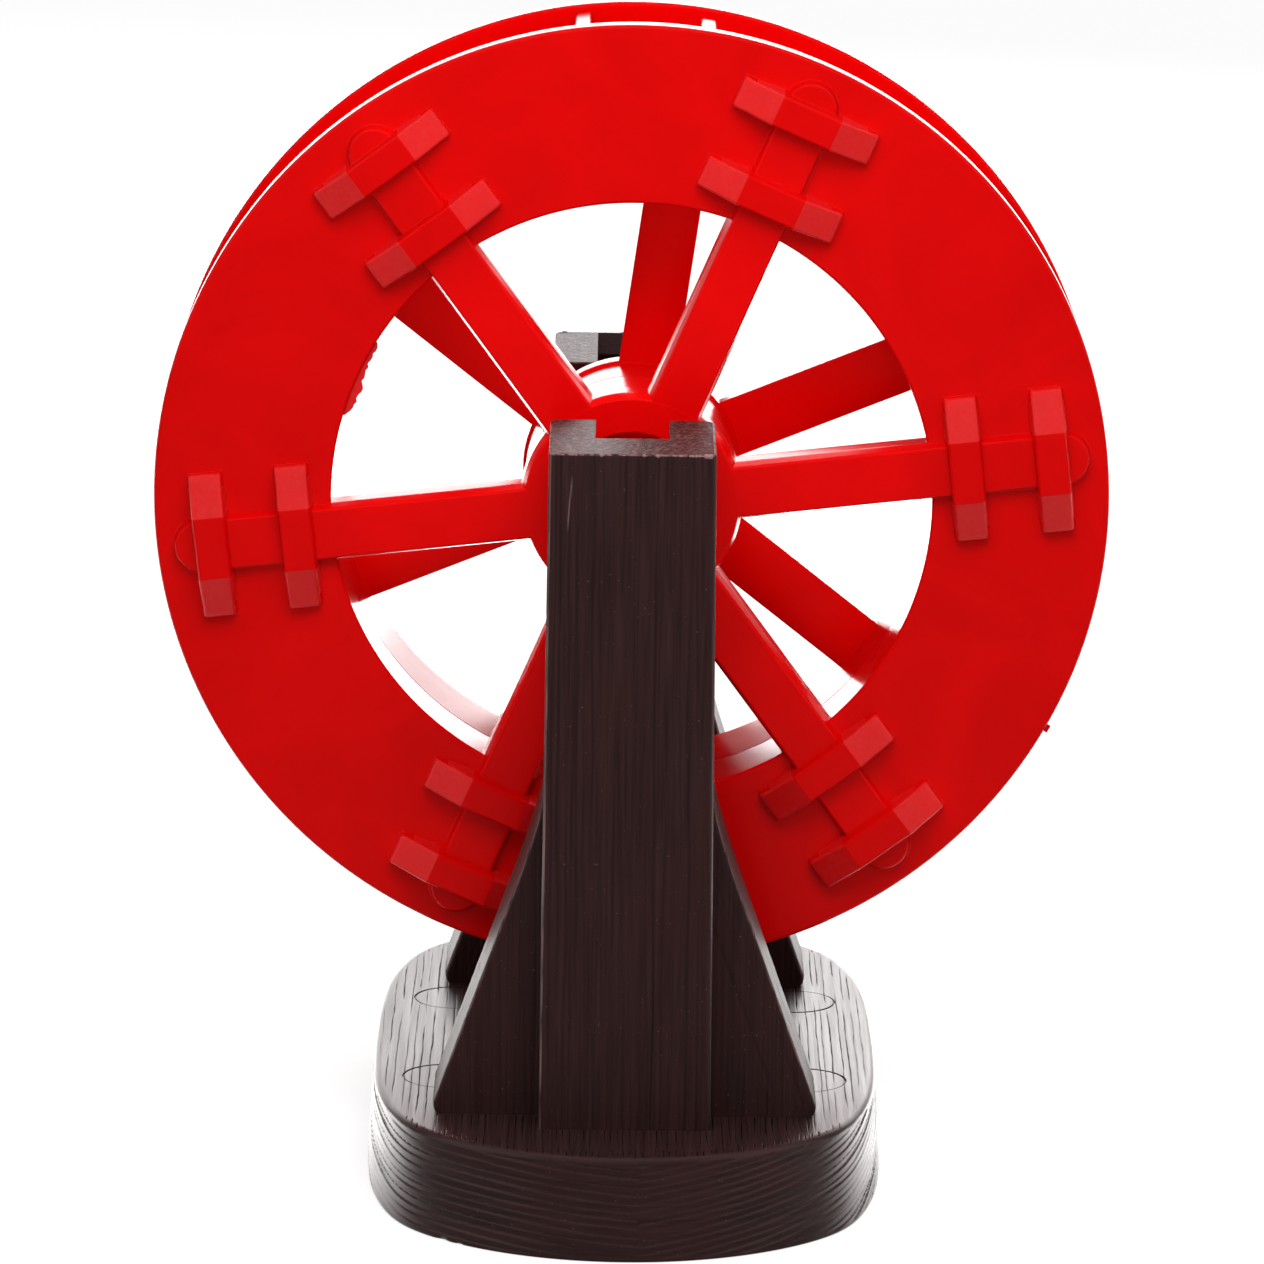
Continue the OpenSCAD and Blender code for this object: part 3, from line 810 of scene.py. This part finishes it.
def cut_axle_slot(piece, side):
    """A slot from the top with a round seat; in the rear post a sloping web closes its end."""
    end = -POST_IN - (12.2 if side < 0 else 19.5)
    outline = [(SLOT_R * math.cos(t), AXLE_Z + SLOT_R * math.sin(t))
               for t in np.linspace(math.pi, 2 * math.pi, 32)]
    outline += [(SLOT_R, 120.0), (-SLOT_R, 120.0)]
    cut(piece, loft([[(x, y, z) for x, z in outline] for y in (end, -10.0)]))
    if side > 0:
        web = [(end + 1, POST_TOP - 2.4), (end, POST_TOP - 2.4),
               (-POST_IN - POST_DEPTH + 0.4, POST_TOP + 0.1), (end + 1, POST_TOP + 0.1)]
        half = SLOT_R - 0.01
        cut(piece, loft([[(x, y, z) for y, z in web] for x in (-half, half)]))


def core_post(piece):
    """Hollows the post from below, around two screw bosses, and the gussets."""
    core = join("core", [box(-6, 6, -POST_Y - 7, -POST_Y + 7, 5.3, AXLE_Z - 9.55)])
    cut(core, *rods(-POST_Y, 2.9, 4, 21.3))
    boolean(piece, core, "DIFFERENCE")
    cut(piece, *rods(-POST_Y, 1.52, 4.3, 19.3))
    profile = [(12.6, PLINTH_H - 1), (21.3, PLINTH_H - 1),
               (20.9, PLINTH_H + TOE_H), (12.6, PLINTH_H + 22)]
    cut(piece, *[loft([[(x * hand, y, z) for x, z in profile] for y in (-35.4, -26.4)])
                 for hand in (-1, 1)])


def post(name, side, node, seed):
    piece = post_body(name, side, seed)
    for hand in (-1, 1):
        boolean(piece, gusset(hand, seed), "UNION")
    add(piece, box(-TENON_X, TENON_X, -POST_Y - TENON_Y, -POST_Y + TENON_Y, 6.3, PLINTH_H + 1))
    add(piece, top_sliver(seed))
    cut_axle_slot(piece, side)
    core_post(piece)
    if side > 0:
        piece.data.transform(Matrix.Rotation(math.pi, 4, "Z"))
    hand_over(piece, (BROWN_POST, BROWN_FLASH), "stand", node, angle=38)


post("front_post_moulding", -1, "front_post", 11)
post("rear_post_moulding", 1, "rear_post", 23)


# ---------------------------------------------------------------- plinth
def plan_width(y, half_x, half_y):
    """Half width of the outline at y: bowed sides blended softly into the end arcs."""
    side = half_x - 5.3 * (np.abs(y) / 44) ** 2.6
    past = np.maximum(np.abs(y) - (half_y - PLINTH_R), 0)
    arc = np.maximum(np.sqrt(np.maximum(PLINTH_R ** 2 - past ** 2, 0)), 1e-6)
    return (side ** -26.0 + arc ** -26.0) ** (-1 / 26)


def plan(inset, n):
    """Evenly spaced outline points from the middle of the front, anticlockwise from above.

    Also gives the distance of each along the outline, and the full length.
    """
    half_x, half_y = PLINTH_X - inset, PLINTH_Y - inset
    t = np.linspace(0, 2 * math.pi, 4001)
    y = -half_y * np.cos(t)
    x = np.sign(np.sin(t)) * plan_width(y, half_x, half_y)
    x[np.abs(np.sin(t)) < 1e-9] = 0
    far = np.concatenate([[0], np.cumsum(np.hypot(np.diff(x), np.diff(y)))])
    along = np.linspace(0, far[-1], n, endpoint=False)
    points = np.stack([np.interp(along, far, x), np.interp(along, far, y)], 1)
    return points, along, far[-1]


def wall_relief(along, rear, half, z):
    """How far the wall is raised at one height; grooves are negative.

    along: distance from the middle of the nearer end. half: half the length of the outline.
    """
    bend = along - 1.6
    left = bend < 0
    climb = np.where(left, -0.075 * bend, 0.17 * bend)
    climb = climb + 0.30 * noise1(along * 0.06 + 11 + 40 * rear, 71)
    course = (z - climb) / np.where(left, 1.05, 0.92) + 0.10 * noise1(z * 0.9 + 3, 72)
    cell = np.floor(course)
    part = course - cell
    depth = 0.13 + 0.12 * noise2(cell * 3.7 + 9 * left + 50 * rear, along * 0.045, 73)
    depth = np.clip(depth, 0.03, 0.26)
    saw = np.where(part < 0.86, part / 0.86, (1 - part) / 0.14)
    fine = 0.018 * noise2(along * 0.15, (z - climb) * 3.1, 74)
    # smooth at the foot, at the top edge and in the middle of the long sides
    fade = np.clip(np.minimum(z - 0.15, (PLINTH_H - 0.55) - z) / 0.5, 0, 1)
    fade = fade * np.clip((np.abs(np.abs(along) - half / 2)) / 2.0, 0.0, 1)
    return (-(1 - saw) * depth + fine) * fade


def plinth_body():
    n, foot_round, top_round = 760, 0.42, 0.95
    base, s, total = plan(0.0, n)
    tangent = np.roll(base, -1, 0) - np.roll(base, 1, 0)
    normal = np.stack([tangent[:, 1], -tangent[:, 0]], 1)
    normal /= np.linalg.norm(normal, axis=1)[:, None]
    normal = sum(np.roll(normal, k, 0) for k in range(-6, 7))
    normal = normal / np.linalg.norm(normal, axis=1)[:, None]
    # measured from the middle of the nearer end, so both ends carry the same kind of grain
    half = total / 2
    along = (s + half / 2) % half - half / 2
    rear = ((s + half / 2) % total) >= half
    round_start = PLINTH_H - top_round
    heights = [0.0, 0.08, 0.22, 0.42] + list(np.arange(0.52, round_start, 0.105))
    heights += [round_start + top_round * math.sin(t) for t in np.linspace(0.0, math.pi / 2, 8)]
    rings = []
    for z in heights:
        lean = 0.75 * z / PLINTH_H
        edge = 0.6 * rounding(foot_round - z, foot_round) + rounding(z - round_start, top_round)
        # two small chips in the foot, left of the middle of each end as seen from outside
        chip = (np.exp(-((along + 24.5) / 0.8) ** 2 - (z / 0.5) ** 2) * 0.35
                + np.exp(-((along + 21.8) / 0.5) ** 2 - (z / 0.4) ** 2) * 0.25)
        inset = lean + edge - wall_relief(along, rear, half, z) + chip
        rings.append(np.column_stack([base - normal * inset[:, None], np.full(n, z)]))
    piece = new_object("plinth_moulding", *loft(rings))
    faces = piece.data.polygons
    # upward faces take the deck brown, the others the wall brown, which is painted lighter
    faces.foreach_set("material_index", [0 if face.normal.z > 0.75 else 1 for face in faces])
    return piece


def deck_line(x, y0, y1, width, depth, seed, wobble=0.08):
    """Cutter for one grain line in the deck, running along y."""
    n = max(6, int(abs(y1 - y0) / 1.6))
    ys = np.linspace(y0, y1, n)
    path = x + wobble * noise1(ys * 0.14 + seed * 1.7, 80 + seed % 13)
    path = path + 0.03 * noise1(ys * 0.6 + seed, 95)
    t = np.linspace(0, 1, n)
    taper = np.clip(np.minimum(t, 1 - t) * 7, 0.08, 1)
    half = width * taper * (0.75 + 0.35 * noise1(ys * 0.5 + seed, 96)) / 2
    deep = depth * taper * (0.8 + 0.3 * noise1(ys * 0.3 + seed, 97))
    top, z = half * 1.5, PLINTH_H
    return loft([[(p - b, y, z + 0.35), (p + b, y, z + 0.35),
                  (p + h * 0.25, y, z - d), (p - h * 0.25, y, z - d)]
                 for p, b, y, d, h in zip(path, top, ys, deep, half)])


def deck_reach(x, start, step, inset_x, inset_y):
    """How far out along y the deck is still wide enough for a line at x."""
    reach = start
    while reach > 5 and plan_width(reach, PLINTH_X - inset_x, PLINTH_Y - inset_y) < abs(x):
        reach -= step
    return reach


def deck_grain():
    """Cutters for all the grain lines in the deck and over its ends."""
    random = np.random.default_rng(5)
    lines, k = [], 0
    widths, odds = [0.13, 0.17, 0.22, 0.29], [0.3, 0.35, 0.25, 0.1]
    x = -31.3
    while x < 31.4:
        reach = deck_reach(x, 55.6, 0.5, 1.7, 1.6)
        y = -reach + random.uniform(0.0, 3.0)
        while y < reach - 4:
            y1 = min(y + random.uniform(14, 70), reach - 0.3)
            if y1 - y > 3:
                lines.append(deck_line(x + random.uniform(-0.12, 0.12), y, y1,
                                       random.choice(widths, p=odds),
                                       random.uniform(0.16, 0.34), k))
            y = y1 + random.uniform(0.4, 3.0)
            k += 1
        x += random.uniform(0.75, 1.45) if abs(x) > 20 else random.uniform(0.65, 1.0)
    # short nicks over the rounded front and rear edges
    for end in (-1, 1):
        x = -27.0
        while x < 27.0:
            outer = deck_reach(x, 56.6, 0.25, 0.9, 0.9) - 0.15
            inner = outer - random.uniform(1.2, 3.4)
            lines.append(deck_line(x, end * outer, end * inner, random.uniform(0.16, 0.3),
                                   random.uniform(0.16, 0.3), k, wobble=0.05))
            k += 1
            x += random.uniform(0.55, 1.1)
    return lines


def ring_mark(x, y, tilt):
    """Cutter for a round mark in the deck; tilt is the sign of y on its deeper side."""
    n, radius = 72, 5.3
    top = PLINTH_H + 0.3
    rings = []
    for i in range(n):
        t = 2 * math.pi * i / n
        deep = 0.05 + 0.30 * max(0.0, 0.35 + 0.65 * math.sin(t) * tilt)
        floor_z = PLINTH_H - (deep + 0.03 * float(noise1(t * 2 + 9, 99)))
        w = 0.10 + 0.14 * max(0.0, 0.3 + 0.7 * math.sin(t) * tilt)
        rings.append([((radius + dr) * math.cos(t) + x, (radius + dr) * math.sin(t) + y, z)
                      for dr, z in ((-w, top), (w, top), (w * 0.7, floor_z), (-w * 0.7, floor_z))])
    # its faces take the darker groove brown: painted shade
    return in_slot((np.array(rings).reshape(-1, 3), hoop_faces(n, 4, 4)), 2)


def underside():
    """Cutter for the hollow underside; it leaves ribs and two sockets."""
    # (inset from the outline, height)
    layers = ((3.1, -1.0), (3.1, PLINTH_H - 2.9), (3.9, PLINTH_H - 2.1))
    n = 240
    cavity = join("cavity", [loft([np.column_stack([plan(inset, n)[0], np.full(n, z)])
                                   for inset, z in layers])])
    for end in (-1, 1):
        y = end * POST_Y
        cut(cavity, box(-11, 11, y - 12, y + 12, 3.6, 16))
        cut(cavity, box(-40, 40, y - 1, y + 1, 4, 16))
    cut(cavity, box(-40, 40, -1, 1, 4, 16))
    cut(cavity, box(-1, 1, -60, 60, 4, 16))
    return cavity


def plinth():
    piece = plinth_body()
    lines = deck_grain()
    order = np.argsort([points[:, 0].min() for points, _ in lines])
    # neighbours go in different batches, to keep crossing shells out of one batch
    for batch in range(4):
        # the cut faces take the darker groove brown: painted shade
        cut(piece, *[in_slot(lines[i], 2) for i in order[batch::4]])
    for x, y, tilt in ((22.7, -21, 1), (-22.7, -21, 1), (22.3, 16.6, -1), (-22.3, 16.6, 1)):
        cut(piece, ring_mark(x, y, tilt))
    boolean(piece, underside(), "DIFFERENCE")
    half_x, half_y = TENON_X + 0.05, TENON_Y + 0.05
    for end in (-1, 1):
        y = end * POST_Y
        cut(piece, box(-half_x, half_x, y - half_y, y + half_y, 6.2, 26))
        cut(piece, *rods(y, 1.65, -1, 19))
    hand_over(piece, (BROWN_DECK, BROWN_WALL, BROWN_GROOVE_SHADE), "stand", "base_plinth",
              angle=40)


plinth()

# ---------------------------------------------------------------- CAD pieces shown as they are
# name, material, bevel width in metres
for name, material, width in (
    ("axle", STEEL_TURNED, 0.00018),
    ("front_bush", NYLON, 0.00022),
    ("rear_bush", NYLON, 0.00022),
    ("front_spacer", NYLON, 0.00018),
    ("rear_spacer", NYLON, 0.00018),
    ("front_axle_clip", STEEL_SCREW, 0.0001),
    ("rear_axle_clip", STEEL_SCREW, 0.0001),
    ("hub_screws", STEEL_SCREW, 0.00012),
    ("front_post_screws", STEEL_SCREW, 0.00012),
    ("rear_post_screws", STEEL_SCREW, 0.00012),
):
    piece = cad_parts[name]
    piece.data.materials.clear()
    piece.data.materials.append(material)
    bevel = piece.modifiers.new("edge", "BEVEL")
    bevel.width, bevel.segments = width, 2
    bevel.limit_method, bevel.angle_limit = "ANGLE", math.radians(35)
    bevel.use_clamp_overlap = True


# ---------------------------------------------------------------- stage, light and camera
def floor_material():
    """Pale grey; its glow depends on whether the camera or a reflection sees it."""
    material = bpy.data.materials.new("pale_floor")
    material.use_nodes = True
    g = Graph(material.node_tree)
    g.tree.nodes.clear()
    ray = g.node("LightPath").outputs
    position = g.node("NewGeometry").outputs["Position"]
    behind = g.ease(g.xyz(position)["Y"], over=(-0.06, 0.03), to=(0.10, 3.6))
    reflected = g.math("MULTIPLY", ray["Is Glossy Ray"], behind)
    camera_glow, base_glow = 0.66, 0.04
    glow = g.math("MULTIPLY_ADD", ray["Is Camera Ray"], camera_glow, reflected)
    emission = g.node("Emission", {"Strength": g.math("ADD", glow, base_glow)})
    diffuse = g.node("BsdfDiffuse", {"Color": (0.55, 0.55, 0.55)})
    both = g.node("AddShader", {0: diffuse.outputs[0], 1: emission.outputs[0]})
    g.node("OutputMaterial", {"Surface": both.outputs[0]})
    return material


def build_floor():
    half, z = 4, -0.00005
    mesh = bpy.data.meshes.new("floor")
    corners = [(-half, -half, z), (half, -half, z), (half, half, z), (-half, half, z)]
    mesh.from_pydata(corners, [], [(0, 1, 2, 3)])
    floor = bpy.data.objects.new("floor", mesh)
    COLLECTION.objects.link(floor)
    mesh.materials.append(floor_material())


def build_world():
    """White surroundings of different strength for reflections, soft light and the camera."""
    world = bpy.data.worlds.new("studio")
    bpy.context.scene.world = world
    world.use_nodes = True
    g = Graph(world.node_tree)
    x, y, z = g.xyz(g.node("TexCoord").outputs["Generated"])
    # reflections: a bright wall behind
    across = g.math("ABSOLUTE", g.math("ADD", x, 0.06))
    behind = g.math("MULTIPLY", g.ease(y, over=(0.2, 0.7), to=(0.0, 3.5)),
                    g.ease(across, over=(0.22, 0.44), to=(1.0, 0.14)))
    behind = g.math("MULTIPLY", behind, g.ease(z, over=(0.28, 0.52), to=(1.0, 0.12)))
    # a soft top light
    above = g.ease(z, over=(0.60, 0.95), to=(0.0, 1.5))
    # and a softbox to each side of the front
    sides = g.math("MULTIPLY", g.ease(g.math("ABSOLUTE", x), over=(0.40, 0.66), to=(0.40, 2.0)),
                   g.ease(z, over=(-0.02, 0.05), to=(0.0, 1.0)))
    sides = g.math("MULTIPLY", sides, g.ease(y, over=(-0.1, 0.4), to=(1.0, 0.2)))
    gloss = g.math("MAXIMUM", g.math("MAXIMUM", behind, above), sides)
    soft = g.ease(z, over=(-0.1, 0.9), to=(0.22, 0.55))
    ray = g.node("LightPath").outputs
    glossy, camera = ray["Is Glossy Ray"], ray["Is Camera Ray"]
    light = g.math("ADD", g.math("MULTIPLY", gloss, glossy),
                   g.math("MULTIPLY", soft, g.math("SUBTRACT", 1.0, glossy)))
    backdrop = 1.05
    seen = g.math("ADD", g.math("MULTIPLY", light, g.math("SUBTRACT", 1.0, camera)),
                  g.math("MULTIPLY", camera, backdrop))
    background = next(n for n in g.tree.nodes if n.type == "BACKGROUND")
    g.put(background.inputs["Strength"], seen)
    g.put(background.inputs["Color"], (1, 1, 1))


def area(name, place, target, size, power):
    light = bpy.data.lights.new(name, "AREA")
    light.shape, light.size, light.size_y = "RECTANGLE", size[0], size[1]
    light.energy = power
    lamp = bpy.data.objects.new(name, light)
    COLLECTION.objects.link(lamp)
    lamp.location = place
    direction = Vector(target) - Vector(place)
    lamp.rotation_euler = direction.to_track_quat("-Z", "Y").to_euler()
    return lamp


def build_camera():
    data = bpy.data.cameras.new("camera")
    data.lens, data.sensor_width = 204.73, 36.0
    data.shift_x, data.shift_y = -0.002587, 0.05648
    data.clip_start, data.clip_end = 0.01, 20
    camera = bpy.data.objects.new("camera", data)
    COLLECTION.objects.link(camera)
    yaw, pitch, roll = math.radians(0.217), math.radians(-12.977), math.radians(0.744)
    forward = Vector((math.sin(yaw) * math.cos(pitch), math.cos(yaw) * math.cos(pitch),
                      math.sin(pitch)))
    right = Vector((math.cos(yaw), -math.sin(yaw), 0))
    up = right.cross(forward)
    rolled_right = right * math.cos(roll) + up * math.sin(roll)
    rolled_up = -right * math.sin(roll) + up * math.cos(roll)
    pose = Matrix((rolled_right, rolled_up, -forward)).transposed().to_4x4()
    pose.translation = Vector((-2.557, -897.676, 263.862)) * S
    camera.matrix_world = pose
    bpy.context.scene.camera = camera


build_floor()
build_world()
key = area("key", place=(0.008, -0.195, 0.295), target=(0, 0.0, 0.098), size=(0.20, 0.15),
           power=0.455)
key.visible_glossy = False
area("front_fill", place=(0.0, -0.75, 0.42), target=(0, 0, 0.07), size=(0.6, 0.4), power=0.50)
area("rear_fill", place=(0.25, 0.70, 0.50), target=(0, 0, 0.07), size=(0.6, 0.5), power=2.9)
build_camera()
bpy.context.scene.view_settings.view_transform = "Standard"
bpy.context.scene.view_settings.look = "None"

for material in STAND_INS:
    bpy.data.materials.remove(material)
